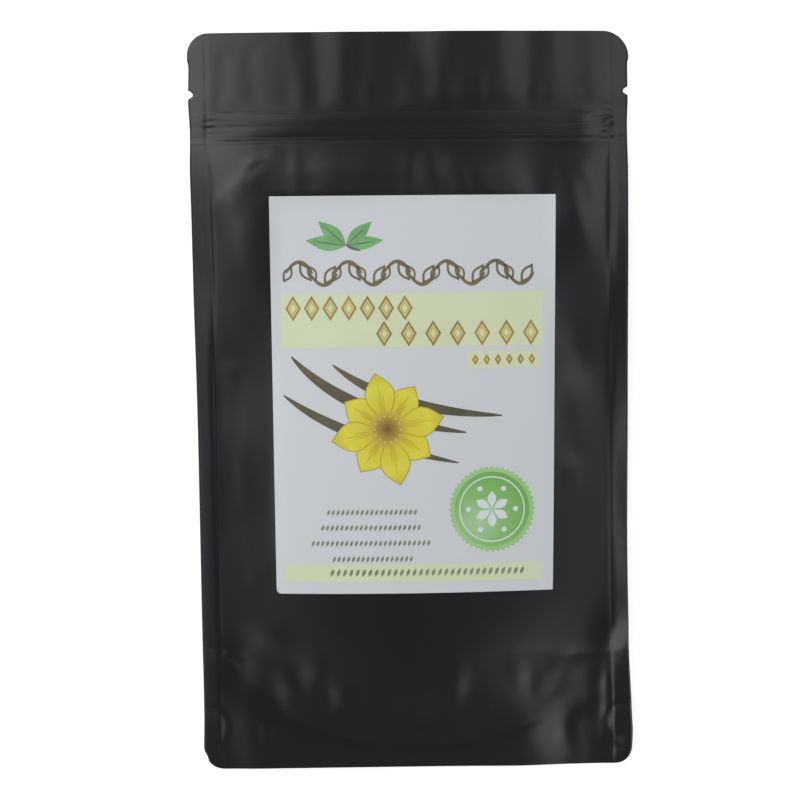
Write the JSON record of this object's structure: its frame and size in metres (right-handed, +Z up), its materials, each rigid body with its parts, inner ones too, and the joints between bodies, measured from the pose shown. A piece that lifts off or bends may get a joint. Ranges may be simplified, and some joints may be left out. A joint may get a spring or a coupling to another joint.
{
  "type": "stand-up pouch",
  "caption": "Shut, filled stand-up pouch lying on its back, with side seals, tear notches, a press-to-close zip band, a folded bottom gusset and a paper label on its front.",
  "frame": {"origin": "centre of the part's plan box, on the surface that the pouch lies on", "axes": "+Y from the folded gusset to the open header edge, +X across the front to its right, +Z up out of the labelled front"},
  "size_m": [0.16, 0.27, 0.019],
  "materials": {
    "film": "satin matte black laminate film, softly creased",
    "label_paper": "smooth uncoated white paper"
  },
  "bodies": {
    "root": {"pouch": "film", "label": "label_paper"}
  },
  "joints": []
}
